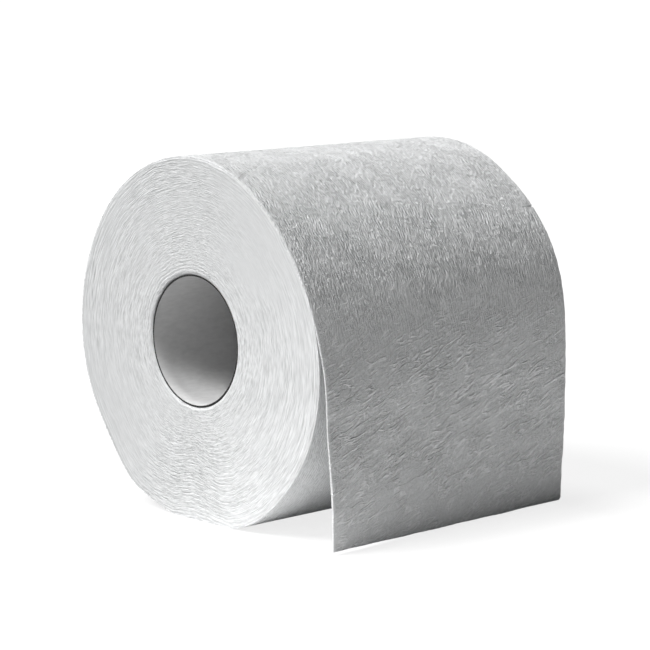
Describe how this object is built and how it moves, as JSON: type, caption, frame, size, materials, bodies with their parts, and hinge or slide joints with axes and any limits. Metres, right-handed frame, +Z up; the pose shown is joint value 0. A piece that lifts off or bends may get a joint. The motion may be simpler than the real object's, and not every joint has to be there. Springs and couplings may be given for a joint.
{
  "type": "toilet paper roll",
  "caption": "Soft white toilet paper roll on a cardboard core, lying on its side, with the free end of the web hanging down the front to the table.",
  "frame": {"origin": "on the table under the middle of the roll's axis, in the flat spot that the roll rests on", "axes": "+Z up, +X along the roll's axis; the free end hangs at the front, -Y"},
  "size_m": [0.1016, 0.1125, 0.109],
  "materials": {
    "tissue": "matt creped tissue",
    "grey_board": "matt grey board"
  },
  "bodies": {
    "root": {"wound_paper": "tissue", "core_tube": "grey_board"}
  },
  "joints": []
}
